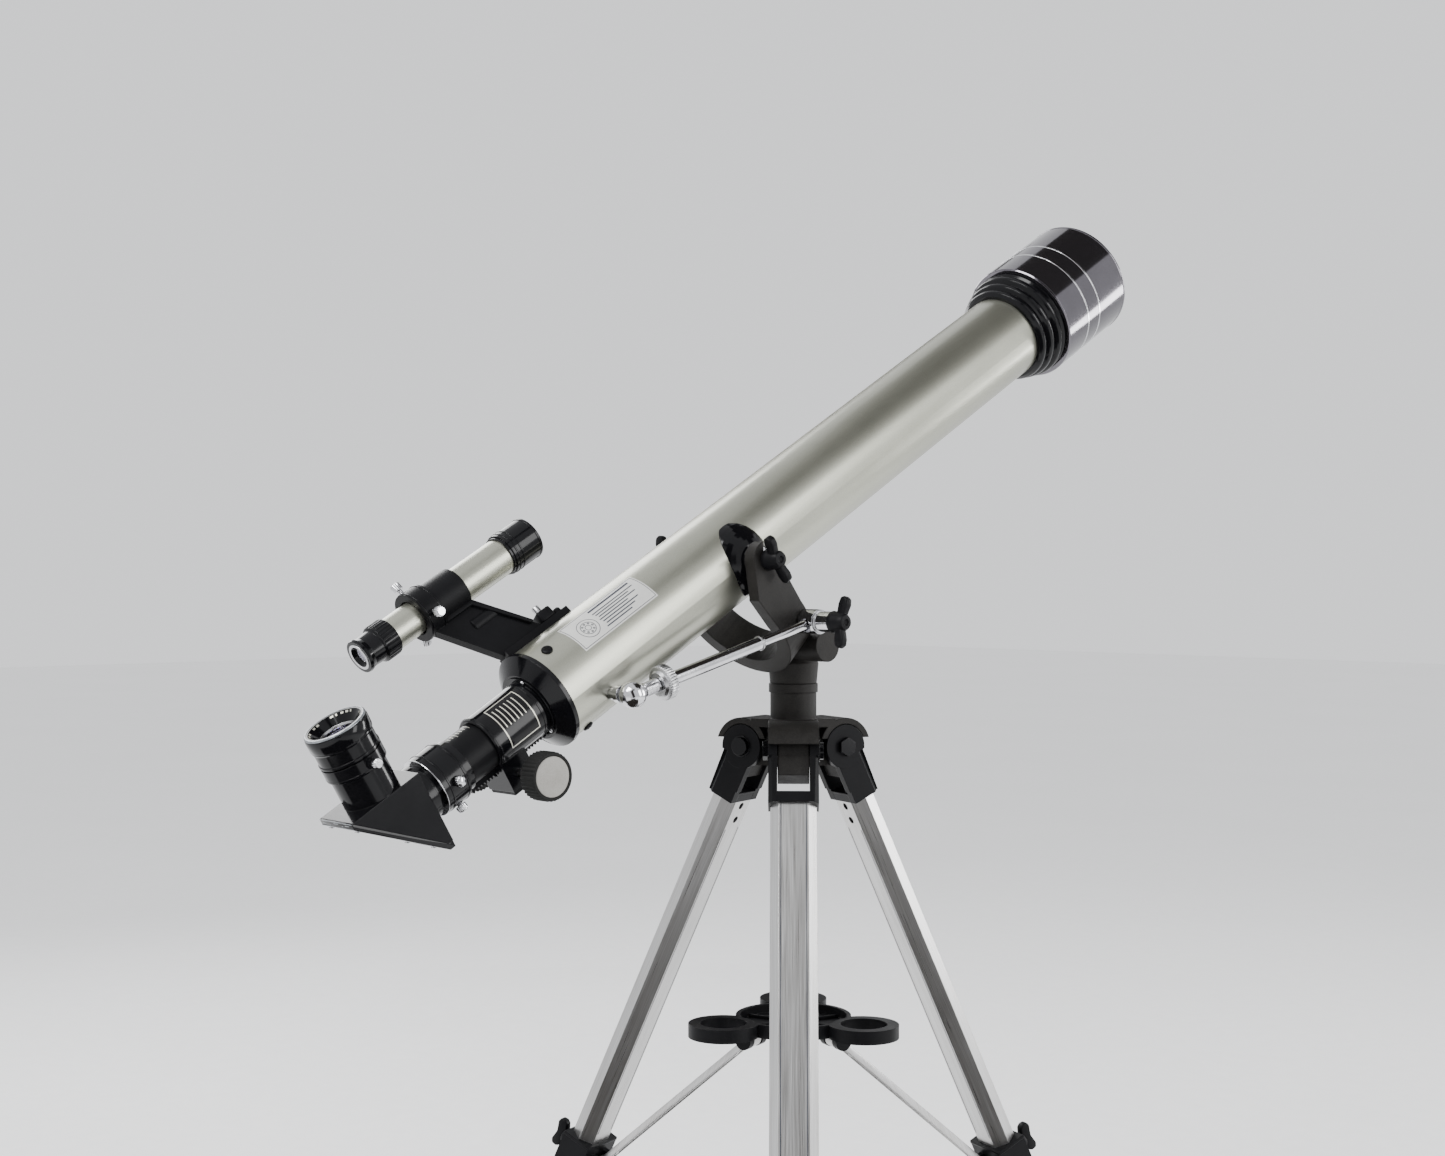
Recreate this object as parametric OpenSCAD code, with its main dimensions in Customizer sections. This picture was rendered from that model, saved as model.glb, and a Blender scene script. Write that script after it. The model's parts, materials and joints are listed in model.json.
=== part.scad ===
// Refracting telescope, 60 mm aperture class, on a folding alt-azimuth tripod.
// X points to the observer's right, Y along the tube's heading, Z up; the feet stand on Z = 0.

/* [Stand] */
// Plan offset of the azimuth axis from the origin, along X
plan_x = 35.5; // [-40:0.5:40]
// Plan offset of the azimuth axis from the origin, along Y
plan_y = 20.5; // [-60:0.5:60]
// Leg length from its hinge to the sole, retracted
leg_length = 640; // [600:5:700]
// Leg angle from the vertical
leg_tilt = 25.5; // [22:0.5:27]
// Radius of the circle that the leg hinges lie on
hinge_radius = 32; // [31:0.5:34]
// Azimuth of the first leg
first_leg = -44; // [-50:1:-40]
// Width of a leg across its corners
leg_width = 31; // [30:0.5:31.5]
// Depth of a leg between its flat faces
leg_depth = 19; // [18.5:0.5:19.5]
// Length of a brace arm between its pivots
brace_length = 168; // [164:1:172]
// Radius of the circle that the tray's brace pivots lie on
tray_pivot_radius = 34; // [32:1:36]

/* [Mount] */
// Height of the altitude axis above the leg hinges
altitude_rise = 129; // [127:1:132]
// How far the altitude axis stands behind the azimuth axis
yoke_offset = 70.5; // [69:0.5:72]
// Tube elevation above the horizontal at rest
tube_elevation = 30.5; // [28:0.5:33]
// Lateral distance of the slow-motion rod from the tube's axis
rod_plane = 50; // [49.5:0.5:50.5]
// Length of the slow-motion rod beyond its knuckle
rod_length = 167; // [166:1:170]

/* [Tube] */
// Outer radius of the main tube
tube_r = 32; // [31.5:0.25:32]
// Wall of the main tube
tube_wall = 1.5; // [1:0.25:2]
// Tube length behind the altitude axis
tube_back = 171; // [168:1:174]
// Tube length ahead of the altitude axis
tube_ahead = 341; // [330:1:350]
// Outer radius of the dew shield
shield_r = 45.5; // [45:0.25:46]
// Length of the dew shield
shield_length = 81; // [75:1:90]

/* [Focuser] */
// Outer radius of the focusing draw tube
draw_r = 15.9; // [15.8:0.05:16]
// Teeth on the focus pinion
pinion_teeth = 12; // [12:1:12]
// Module of the rack and pinion
gear_module = 0.8; // [0.8:0.1:0.8]
// Radius of the focus knobs
knob_r = 15; // [13:0.5:15.5]
// Radius of the eyepiece sockets, for 1.25 inch barrels
socket_r = 15.93; // [15.9:0.01:15.95]

/* [Finder] */
// Distance of the finder's axis from the tube's axis
finder_reach = 89; // [87:1:92]
// Roll of the finder around the tube, to the left of the top
finder_roll = 35; // [30:1:40]
// Outer radius of the finder's tube
finder_r = 12.2; // [12:0.1:12.3]

/* [Hidden] */
$fn = 72;

run_gap = 0.05;      // radial clearance of a turning or sliding fit
cast_grey = [0.27, 0.26, 0.26];
black = [0.06, 0.06, 0.07];
alloy = [0.78, 0.78, 0.78];
chrome = [0.85, 0.85, 0.86];
champagne = [0.72, 0.71, 0.66];

// Stand
hinge_z = leg_length * cos(leg_tilt);
axis_z = hinge_z + altitude_rise;
leg_turn = 120;
bolt_r = 4;
fitting_end = 40;
leg_top = 34;
collar_s = 340;
collar_half = 14;
brace_s = 340;
brace_inset = 17;
lower_top = 66;
foot_s = 606;
brace_x = hinge_radius + brace_s * sin(leg_tilt) - brace_inset * cos(leg_tilt);
brace_z = hinge_z - brace_s * cos(leg_tilt) - brace_inset * sin(leg_tilt);
brace_rise = acos((brace_x - tray_pivot_radius) / brace_length);
tray_z = brace_z + brace_length * sin(brace_rise);

// Mount
hub_drop = 71;
yoke_base = -85;
fork_angle = atan2(hub_drop, yoke_offset);
stud_t = -141.2;
stud_h = -13.8;
stud_y = stud_t * cos(tube_elevation) - stud_h * sin(tube_elevation);
stud_z = stud_t * sin(tube_elevation) + stud_h * cos(tube_elevation);
clamp_y = 40;
clamp_z = -41;
rod_rise = atan2(clamp_z - stud_z, clamp_y - stud_y);
rod_r = 3.2;
rod_sag = 0.8;       // offset of the clamp's hole from the rod, half the rod's travel in it

// Focuser
pinion_t = -214;
pitch_r = pinion_teeth * gear_module / 2;
tooth_pitch = PI * gear_module;
pinion_h = -25;
rack_h = pinion_h + pitch_r;
gear_backlash = 0.16;
holder_end = -268;
eyepiece_t = -301;

// ---------------------------------------------------------------- placing and profiles

module at_axis() translate([plan_x, plan_y, 0]) children();

module at_altitude() translate([plan_x, plan_y - yoke_offset, axis_z]) children();

module on_tube() at_altitude() rotate([tube_elevation, 0, 0]) children();

module at_finder() on_tube() rotate([0, -finder_roll, 0]) translate([0, 0, finder_reach]) children();

module on_rod() at_altitude() translate([rod_plane, stud_y, stud_z]) rotate([rod_rise, 0, 0]) children();

module at_clamp() at_altitude() translate([0, clamp_y, clamp_z]) rotate([rod_rise, 0, 0]) children();

// Leg frame: origin on the hinge, -Z down the leg, +X out of its outer face
module on_leg(n) at_axis() rotate(first_leg + n * leg_turn)
  translate([hinge_radius, 0, hinge_z]) rotate([0, -leg_tilt, 0]) children();

module rod_x(x0, x1, r) translate([x0, 0, 0]) rotate([0, 90, 0]) cylinder(r = r, h = x1 - x0);

module rod_y(y0, y1, r) translate([0, y0, 0]) rotate([-90, 0, 0]) cylinder(r = r, h = y1 - y0);

module turned_x(points) rotate([0, 90, 0]) rotate_extrude() polygon(points);

module turned_y(points) rotate([-90, 0, 0]) rotate_extrude() polygon(points);

function arc(cx, cy, r, a0, a1, steps = 8) =
  [for (i = [0:steps]) let (a = a0 + (a1 - a0) * i / steps) [cx + r * cos(a), cy + r * sin(a)]];

// Six-sided leg section, shrunk by inset
module leg_section(inset = 0) {
  d = leg_depth / 2 - inset;
  w = leg_width / 2 - inset * 1.1;
  f = 10 - inset * 0.6;
  polygon([[d, -f], [d, f], [0, w], [-d, f], [-d, -f], [0, -w]]);
}

module leg_bar(s0, s1, inset = 0) translate([0, 0, -s1]) linear_extrude(s1 - s0) leg_section(inset);

// Wing knob on the X axis: hub from x0 outwards, two blades, a blind bore from the inside
module wing_knob(x0, turn, bore_depth) rotate([turn, 0, 0]) difference() {
  union() {
    turned_x([[0, x0], [7, x0], [7, x0 + 6], [5.5, x0 + 12], [0, x0 + 12]]);
    translate([x0 + 5, -11, -3]) cube([6, 22, 6]);
    for (side = [-1, 1]) translate([x0 + 8, side * 12.5, 0]) intersection() {
      rotate([0, 90, 0]) cylinder(r = 5, h = 7, center = true);
      cube([7, 12, 9], center = true);
    }
  }
  rod_x(x0 - 1, x0 + bore_depth, bolt_r + run_gap);
}

// ---------------------------------------------------------------- tripod head

module head_lug() {
  hood_r = 20;
  hood_in = 15.8;
  rib = 21.6;
  translate([hinge_radius, 0, hinge_z]) {
    difference() {
      rotate([90, 0, 0]) cylinder(r = hood_r, h = 34, center = true);
      rotate([90, 0, 0]) cylinder(r = hood_in, h = 40, center = true);
      translate([-30, -20, -30]) cube([60, 40, 36]);
      rotate([0, 25, 0]) translate([0, -20, -30]) cube([40, 40, 36]);
    }
    difference() {
      union() {
        rotate([90, 0, 0]) cylinder(r = 12, h = rib - 0.8, center = true);
        rotate([0, -leg_tilt, 0]) translate([-8, 0.2 - rib / 2, -21]) cube([18, rib - 0.4, 23]);
        rotate([90, 0, 0]) linear_extrude(rib, center = true)
          polygon([[-22, -13], [-1, -13], [-1, -2], [7, -2], [7, 17], [-22, 17]]);
      }
      rotate([90, 0, 0]) cylinder(r = bolt_r + run_gap, h = 40, center = true);
    }
    translate([-22, -17, 14]) cube([14, 34, 5.6]);
  }
}

module tripod_head() color(cast_grey) at_axis() difference() {
  union() {
    translate([0, 0, hinge_z - 13]) cylinder(r = 16, h = 56);
    translate([0, 0, axis_z + yoke_base - 6]) cylinder(r = 17, h = 6);
    translate([0, 0, hinge_z + 5]) cylinder(r1 = 20, r2 = 16, h = 15);
    for (n = [0:2]) rotate(first_leg + n * leg_turn) head_lug();
  }
  translate([0, 0, hinge_z + 2]) cylinder(r = 8 + run_gap, h = 60);
  lock_hole();
}

module lock_hole() rotate(136) translate([0, 0, axis_z - 99]) rod_x(4, 30, 3);

module leg_bolts() color(chrome) at_axis() for (n = [0:2]) rotate(first_leg + n * leg_turn)
  translate([hinge_radius, 0, hinge_z]) {
    rod_y(-17.3, 17.3, bolt_r);
    rod_y(17.3, 20.3, 6);
    translate([0, -20.8, 0]) rotate([-90, 30, 0]) cylinder(r = 6.6, h = 3.5, $fn = 6);
  }

module azimuth_lock() color(black) at_axis() rotate(136) translate([0, 0, axis_z - 99]) {
  rod_x(8.4, 19, 2.95);
  rod_x(17.5, 22, 5);
  rod_x(22, 32, 9);
}

// ---------------------------------------------------------------- legs

module leg_fitting(n) color(black) on_leg(n) difference() {
  union() {
    for (side = [-1, 1]) translate([0, side * 14.1, 0]) rotate([90, 0, 0]) cylinder(r = 15.3, h = 6.2, center = true);
    rotate([90, 0, 0]) linear_extrude(34, center = true)
      polygon([[-2, 0], [12.9, -8], [12.2, -fitting_end], [-10.5, -fitting_end], [-10.5, -8]]);
    translate([0, 0, -60]) linear_extrude(30) leg_section(1.5);
  }
  rotate([90, 0, 0]) cylinder(r = bolt_r + run_gap, h = 40, center = true);
  translate([-20, -11, -33]) cube([40, 22, 60]);
  difference() {
    leg_bar(leg_top, fitting_end + 1);
    leg_bar(leg_top - 1, fitting_end + 2, 1.5);
  }
  translate([-20, -20, -fitting_end - 1]) cube([10.4, 40, 10]);
  for (side = [-1, 1]) translate([11.5, side * 17, -39]) rotate([0, 0, 45]) cube([5, 5, 62], center = true);
}

module upper_leg(n) color(alloy) on_leg(n) difference() {
  leg_bar(leg_top, collar_s - 5);
  leg_bar(leg_top - 1, collar_s + 7, 1.4);
  for (s = [44, 55]) translate([0, 0, -s]) rod_x(-12, -5, 2.6);
}

module leg_collar(n) color(black) on_leg(n) difference() {
  union() {
    translate([-12, -18, -collar_s - collar_half]) cube([24, 36, 2 * collar_half]);
    translate([12, 0, -collar_s]) rod_x(-1, 4, 8);
    for (side = [-1, 1]) translate([-brace_inset, side * 8, -brace_s]) {
      rotate([90, 0, 0]) cylinder(r = 6, h = 5, center = true);
      translate([0, -2.5, -6]) cube([6, 5, 12]);
    }
  }
  leg_bar(collar_s - 20, collar_s - 5);
  leg_bar(collar_s - 20, collar_s + 30, 1.5);
  translate([0, 0, -collar_s]) rod_x(5, 30, 3 + run_gap);
  translate([-brace_inset, 0, -brace_s]) rotate([90, 0, 0]) cylinder(r = 2.5 + run_gap, h = 40, center = true);
}

// Thumb screw that bears on the lower leg
module leg_lock(n) color(black) on_leg(n) translate([0, 0, -collar_s]) {
  rod_x(7.55, 17, 3);
  rod_x(16.4, 19, 6);
  translate([19, -3, -11]) cube([9, 6, 22]);
}

module lower_leg(n) color(alloy) on_leg(n) difference() {
  leg_bar(lower_top, foot_s + 8, 2);
  leg_bar(lower_top - 1, foot_s + 9, 3.2);
}

module foot(n) color(black) intersection() {
  on_leg(n) difference() {
    translate([0, 0, -foot_s - 20]) union() {
      cylinder(r1 = 15, r2 = 17, h = 26);
      translate([0, 0, -24]) cylinder(r1 = 17, r2 = 15, h = 24);
    }
    leg_bar(foot_s - 10, foot_s + 8, 2);
  }
  translate([-600, -600, 0]) cube([1200, 1200, 100]);
}

// ---------------------------------------------------------------- brace

// Flat arm from the leg's collar up to the tray; its upper knuckle lies open between the tray's ears
module brace_arm(n) color(alloy) at_axis() rotate(first_leg + n * leg_turn)
  translate([brace_x, 0, brace_z]) rotate([0, brace_rise, 0]) {
    rotate([90, 0, 0]) cylinder(r = 4.8, h = 10, center = true);
    rotate([90, 0, 0]) cylinder(r = 2.5, h = 24, center = true);
    translate([-brace_length, 0, 0]) rotate([90, 0, 0]) cylinder(r = 5.5, h = 9, center = true);
    translate([-brace_length + 3, -4.5, -1.5]) cube([brace_length - 6, 9, 3]);
  }

module tray_outline() union() {
  circle(r = 40);
  for (n = [0:2]) rotate(first_leg + 60 + n * leg_turn) translate([55, 0]) circle(r = 24);
}

module accessory_tray() color(black) at_axis() translate([0, 0, tray_z]) {
  difference() {
    translate([0, 0, 12]) linear_extrude(9) tray_outline();
    translate([0, 0, 15]) linear_extrude(9) difference() {
      circle(r = 37);
      for (n = [0:2]) rotate(first_leg + 60 + n * leg_turn) translate([55, 0]) circle(r = 21);
    }
    for (n = [0:2]) rotate(first_leg + 60 + n * leg_turn) translate([55, 0, 0]) cylinder(r = socket_r, h = 30);
  }
  for (n = [0:2]) rotate(first_leg + n * leg_turn) for (side = [-1, 1])
    translate([tray_pivot_radius, side * 8.5, 0]) {
      rotate([90, 0, 0]) cylinder(r = 6, h = 6, center = true);
      translate([-6, -3, 0]) cube([12, 6, 13]);
    }
}

// ---------------------------------------------------------------- yoke

// Lyre outline of the fork, seen square on: altitude axis at the origin, hub below
module fork_outline() {
  outer = concat([[49, 15], [49, -12]], arc(0, -44, 43.5, 0, -180, 24), [[-49, -12], [-49, 15]]);
  inner = concat([[-40, 15], [-40, -12]], arc(0, -42, 33.5, 180, 360, 24), [[40, -12], [40, 15]]);
  polygon(concat(outer, inner));
}

// Side outline of the fork, in the plane that the tube tilts in
module fork_side() {
  circle(r = 12.5);
  polygon([[-12.3, -2], [-8, -27], [16, -46], [50, -80], [90, -80], [90, -62], [51, -35], [38, -25], [12, 3]]);
}

module yoke() color(cast_grey) at_altitude() difference() {
  union() {
    intersection() {
      rotate([180 - fork_angle, 0, 0]) translate([0, 0, -6]) linear_extrude(31) fork_outline();
      rotate([90, 0, 90]) translate([0, 0, -60]) linear_extrude(120) fork_side();
    }
    translate([0, yoke_offset, yoke_base]) {
      cylinder(r1 = 16.2, r2 = 17.5, h = 14);
      translate([0, 0, 14]) cylinder(r1 = 17.5, r2 = 13, h = 9);
      translate([0, 0, -30]) cylinder(r = 8, h = 31);
    }
    translate([0, 66, -58]) rod_x(8, 38, 11);
    translate([0, clamp_y, clamp_z]) rod_x(34, 42.6, 8);
  }
  rod_x(-60, 60, bolt_r + run_gap);
  for (side = [-1, 1]) translate([side * 45 - 6, -bolt_r - run_gap, 0]) cube([12, 2 * (bolt_r + run_gap), 20]);
  translate([0, clamp_y, clamp_z]) rod_x(30, 60, bolt_r + run_gap);
}

module altitude_bolts() color(chrome) at_altitude() for (side = [0, 1]) mirror([side, 0, 0]) {
  rod_x(33, 58, bolt_r);
  difference() {
    rod_x(38.2, 39.8, 9.5);
    rod_x(38, 40, bolt_r - 0.5);
  }
}

module altitude_wing_right() color(black) at_altitude() wing_knob(49.4, 122, 9);

module altitude_wing_left() color(black) at_altitude() mirror([1, 0, 0]) wing_knob(49.4, 90, 9);

// ---------------------------------------------------------------- slow motion

// Domed pads on the tube's flanks; the altitude bolts turn in them
module tube_saddles() color(black) on_tube() difference() {
  for (side = [0, 1]) mirror([side, 0, 0]) turned_x(concat(
    [[bolt_r + run_gap, 10], [25.5, 10]], arc(0, 11, 27, 19.2, 66, 6),
    [[9.6, 36.2], [9.6, 38], [bolt_r + run_gap, 38]]));
  rod_y(-60, 60, tube_r);
}

module rod_stud() color(chrome) on_tube() translate([0, stud_t, stud_h]) difference() {
  union() {
    rod_x(20, rod_plane - 12, 4);
    rod_x(rod_plane - 14, rod_plane - 9.5, 5.5);
    rod_x(rod_plane - 10, rod_plane, 3);
  }
  translate([0, 0, -stud_h]) rod_y(-20, 20, tube_r);
}

// Ball knuckle, slim threaded stretch under the wheel, sleeve, then the slim end with a round tip
module slow_motion_rod() color(chrome) on_rod() difference() {
  turned_y(concat(arc(0, 0, 8.5, -90, 52, 14),
    [[4.4, 9], [4.4, 20], [rod_r, 20.2], [rod_r, 30], [4.4, 30], [4.4, 111], [rod_r, 113]],
    arc(0, rod_length - rod_r, rod_r, 0, 90, 5)));
  rod_x(-12, 3, 3 + run_gap);
  rod_x(-12, -7, 12);
}

module fine_adjust_wheel() color(chrome) on_rod() difference() {
  turned_y([[0, 20.4], [8, 20.4], [9.5, 23], [11.2, 23], [11.2, 29], [6, 29.6], [0, 29.6]]);
  rod_y(10, 40, rod_r + run_gap);
}

module clamp_head() color(chrome) at_clamp() difference() {
  union() {
    rod_x(rod_plane - 6.2, rod_plane + 7, 8.2);
    rod_x(34, rod_plane - 6, bolt_r);
  }
  translate([rod_plane, 0, -rod_sag]) rod_y(-20, 20, rod_r + 1.6);
  rod_x(rod_plane + 2, rod_plane + 12, 2.5 + run_gap);
}

module clamp_shank() color(chrome) at_clamp() {
  rod_x(rod_plane + 5, rod_plane + 8, 2.5);
  turned_x([[0, 57.3], [4, 57.3], [6.8, 59], [6.8, 69], [0, 69]]);
  rod_x(68, 74, bolt_r);
}

module clamp_wing() color(black) at_clamp() wing_knob(69, 80 - rod_rise, 5);

// ---------------------------------------------------------------- optical tube

module main_tube() color(champagne) on_tube() difference() {
  rod_y(-tube_back, tube_ahead, tube_r);
  rod_y(-tube_back - 1, tube_ahead + 1, tube_r - tube_wall);
}

module tube_baffles() color(black) on_tube() for (y = [60, 190])
  turned_y([[19, y], [19, y + 1], [29.5, y + 1], [29.5, y + 8], [30.4, y + 8], [30.4, y]]);

module objective_cell() color(black) on_tube() turned_y(concat(
  [[28.5, tube_ahead - 16], [30.4, tube_ahead - 16], [30.4, tube_ahead], [34.2, tube_ahead]],
  arc(34.2, tube_ahead + 4, 3.2, -60, 60, 6),
  arc(36.5, tube_ahead + 11, 3.4, -60, 60, 6),
  arc(38.8, tube_ahead + 18.5, 3.4, -60, 60, 6),
  [[42, tube_ahead + 23.5], [42, tube_ahead + 27], [43.7, tube_ahead + 27], [43.7, tube_ahead + 33]],
  [[35, tube_ahead + 33], [35, tube_ahead + 44], [31.2, tube_ahead + 44], [31.2, tube_ahead + 27]],
  [[28.5, tube_ahead + 27]]));

// Lens between two spherical faces, as a solid of revolution; sag is positive where a face bulges
module lens(y0, y1, r, sag_back, sag_front) turned_y(concat(
  [for (i = [0:8]) let (x = r * i / 8) [x, y0 - sag_back * (1 - pow(x / r, 2))]],
  [for (i = [8:-1:0]) let (x = r * i / 8) [x, y1 + sag_front * (1 - pow(x / r, 2))]]));

module crown_lens() color([0.75, 0.85, 0.9, 0.4]) on_tube()
  lens(tube_ahead + 34.5, tube_ahead + 39.5, 31.1, 1.8, 2.2);

module flint_lens() color([0.75, 0.85, 0.9, 0.4]) on_tube()
  lens(tube_ahead + 27.2, tube_ahead + 34, 31.1, 0.3, -2);

module dew_shield() color([0.2, 0.19, 0.21]) on_tube() {
  y0 = tube_ahead + 25;
  turned_y([[42.2, y0], [44.7, y0], [shield_r, y0 + 1], [shield_r, y0 + shield_length - 1],
    [shield_r - 0.8, y0 + shield_length], [43.8, y0 + shield_length], [43.8, y0 + 2], [42.2, y0 + 2]]);
}

// ---------------------------------------------------------------- focuser

module rack_slot() translate([-3.6, -260, -21.6]) cube([7.2, 140, 14]);

module rear_cap() color(black) on_tube() difference() {
  turned_y([[17.2, -tube_back + 18], [30.4, -tube_back + 18], [30.4, -tube_back], [33, -tube_back],
    [33, -tube_back - 3], [23, -tube_back - 10], [17.2, -tube_back - 10]]);
  rack_slot();
}

module focuser_body() color(black) on_tube() difference() {
  union() {
    turned_y([[0, -224], [17.6, -224], [18.4, -223], [18.4, -182], [21.5, -182],
      [21.5, -181], [17.1, -181], [17.1, -158], [0, -158]]);
    translate([-13, pinion_t - 10, -32.5]) cube([26, 20, 24]);
  }
  rod_y(-230, -150, draw_r + run_gap);
  rack_slot();
  translate([0, pinion_t, pinion_h]) rod_x(-30, 30, 3 + run_gap);
  translate([0, pinion_t, pinion_h]) rod_x(-3.6, 3.6, 6.2);
  translate([-3.6, pinion_t - 6.2, -40]) cube([7.2, 12.4, 40 + pinion_h]);
}

// Rack teeth in the plane of the tube's axis, crests downwards
module rack_teeth(first, count) polygon([
  for (i = [0:count - 1]) let (y = first + i * tooth_pitch, half = tooth_pitch / 4 - gear_backlash / 2)
    each [[y - half - 0.34, rack_h + 0.95], [y - half + 0.24, rack_h - 0.68],
      [y + half - 0.24, rack_h - 0.68], [y + half + 0.34, rack_h + 0.95]],
  [first + (count - 1) * tooth_pitch + 1.5, -15], [first - 1.5, -15]]);

module draw_tube() color(chrome) on_tube() {
  difference() {
    union() {
      rod_y(-247, -128, draw_r);
      rotate([90, 0, 90]) translate([0, 0, -3.3]) linear_extrude(6.6)
        rack_teeth(pinion_t - 11 * tooth_pitch - tooth_pitch / 2, 27);
    }
    rod_y(-250, -120, draw_r - 1.2);
  }
}

// One involute flank as polar points [radius, angle], the angle measured from the tooth's middle
function flank(base_r, tip_r, half) = [for (i = [0:4])
  let (r = base_r + (tip_r - base_r) * i / 4, roll = sqrt(pow(r / base_r, 2) - 1))
  [r, half - (roll * 180 / PI - atan(roll))]];

module pinion_outline() {
  base_r = pitch_r * cos(20);
  tip_r = pitch_r + 0.7;
  root_r = pitch_r - 1.0;
  involute_20 = tan(20) * 180 / PI - 20;
  half = 90 / pinion_teeth + involute_20 - gear_backlash / pitch_r * 90 / PI;
  rise = flank(base_r, tip_r, half);
  polygon([for (k = [0:pinion_teeth - 1]) each concat(
    [[root_r * cos(k * 30 - half), root_r * sin(k * 30 - half)]],
    [for (p = rise) [p[0] * cos(k * 30 - p[1]), p[0] * sin(k * 30 - p[1])]],
    [for (i = [4:-1:0]) let (p = rise[i]) [p[0] * cos(k * 30 + p[1]), p[0] * sin(k * 30 + p[1])]],
    [[root_r * cos(k * 30 + half), root_r * sin(k * 30 + half)]])]);
}

module focus_pinion() color(chrome) on_tube() translate([0, pinion_t, pinion_h]) {
  rotate([90, 0, 90]) translate([0, 0, -3.2]) linear_extrude(6.4) pinion_outline();
  for (side = [0, 1]) mirror([side, 0, 0]) rod_x(3, 40, 3);
}

module focus_knobs() color(black) on_tube() translate([0, pinion_t, pinion_h])
  for (side = [0, 1]) mirror([side, 0, 0]) difference() {
    turned_x([[0, 27], [7, 27], [8, 31], [knob_r, 31], [knob_r, 44], [knob_r - 1, 45], [12.2, 45],
      [12.2, 44.2], [0, 44.2]]);
    rod_x(20, 40, 3);
  }

module pinion_cover() color(black) on_tube() translate([0, pinion_t, -32.5]) difference() {
  translate([-12, -9.5, -2.5]) cube([24, 19, 2.5]);
  for (x = [-9, 9]) translate([x, 0, -5]) cylinder(r = 1.5, h = 10);
}

module eyepiece_holder() color(black) on_tube() difference() {
  union() {
    rod_y(-252, -244.6, 17.4);
    rod_y(holder_end, -250, 19.5);
  }
  rod_y(-247, -240, draw_r);
  rod_y(holder_end - 1, -246.9, socket_r);
  for (roll = [0, 65]) rotate([0, roll, 0]) translate([0, -258, 0]) rod_x(10, 30, 2);
}

module holder_screws() color(chrome) on_tube() for (roll = [0, 65])
  rotate([0, roll, 0]) translate([0, -258, 0]) {
    rod_x(16.3, 21, 1.95);
    rod_x(19.8, 25, 3.4);
  }

// ---------------------------------------------------------------- diagonal and eyepiece

// Right-angled block whose long side runs at 45 degrees behind the eyepiece's axis
module diagonal_block(inset, width) {
  front = -277 - inset;
  top = 18.5 - inset;
  bottom = inset - 29;
  long_side = -309.5 + inset * sqrt(2);
  rotate([90, 0, 90]) translate([0, 0, -width / 2]) linear_extrude(width)
    polygon([[front, top], [front, bottom], [long_side - bottom, bottom], [long_side - top, top]]);
}

module diagonal_housing() color(black) on_tube() difference() {
  union() {
    diagonal_block(0, 35);
    rod_y(-280, -249, socket_r - run_gap);
    rod_y(-277.5, -272, 17.8);
    translate([0, eyepiece_t, 9]) cylinder(r = 17.2, h = 31);
    translate([0, eyepiece_t, 38]) cylinder(r = 18.8, h = 8);
    translate([0, eyepiece_t, 42]) rod_x(10, 22, 3.5);
  }
  diagonal_block(2.2, 30);
  rod_y(-300, -240, 14.2);
  translate([0, eyepiece_t, 10]) cylinder(r = 14.2, h = 40);
  translate([0, eyepiece_t, 22]) cylinder(r = socket_r, h = 30);
}

module diagonal_mirror() color(chrome) on_tube() translate([0, eyepiece_t, 0]) rotate([-45, 0, 0])
  translate([-14, -21, -3.8]) cube([28, 42, 3.8]);

module eyepiece_body() color(black) on_tube() translate([0, eyepiece_t, 0]) rotate_extrude() polygon([
  [12.5, 24], [socket_r - run_gap, 24], [socket_r - run_gap, 46.4], [18.4, 46.4], [18.4, 56],
  [19, 57], [19, 66], [18.2, 67], [16.6, 67], [11.5, 61], [11.5, 50], [12.5, 48]]);

module eyepiece_lens() color([0.7, 0.8, 0.9, 0.5]) on_tube() translate([0, eyepiece_t, 0]) {
  translate([0, 0, 55]) cylinder(r = 11.4, h = 4);
  translate([0, 0, 27]) cylinder(r = 12.4, h = 4);
}

// ---------------------------------------------------------------- finder

module finder_tube() color(champagne) at_finder() difference() {
  union() {
    rod_y(-184, -112, finder_r);
    rod_y(-222, -180, 10.8);
  }
  rod_y(-182, -100, finder_r - 1);
  rod_y(-230, -181, 9.8);
}

module finder_cell() color(black) at_finder() difference() {
  union() {
    rod_y(-119, -96, 14);
    rod_y(-121, -117, 13.2);
  }
  rod_y(-125, -112, finder_r);
  rod_y(-113, -90, 12);
}

module finder_lens() color([0.7, 0.8, 0.9, 0.5]) at_finder() lens(-108, -105.5, 12, 0.8, 1);

module finder_eyepiece() color(black) at_finder() turned_y([
  [7, -242], [10.8, -242], [11.2, -240], [10, -237], [10.4, -229], [12, -228], [12, -217.5],
  [10.85, -217.5], [10.85, -222.2], [9, -222.4], [9, -236], [4.5, -239]]);

module finder_bracket() color(black) on_tube() difference() {
  rotate([0, -finder_roll, 0]) {
    translate([0, 0, finder_reach]) {
      rod_y(-184, -161, 14.4);
      rod_y(-197, -184, 16.6);
    }
    rotate([90, 0, 90]) translate([0, 0, -3.5]) linear_extrude(7) polygon([
      [-196, finder_reach - 12], [-162, finder_reach - 12], [-136, 37], [-136, 34], [-170, 34]]);
    translate([-7, -170, 30]) cube([14, 55, 6]);
  }
  rotate([0, -finder_roll, 0]) translate([0, 0, finder_reach]) {
    rod_y(-184.5, -150, finder_r);
    rod_y(-200, -180, finder_r - 0.4);
    for (roll = [-90, 30, 150]) rotate([0, roll, 0]) translate([0, -191, 0]) rod_x(9, 18, 1.8);
  }
  rod_y(-190, -100, tube_r);
}

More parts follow.
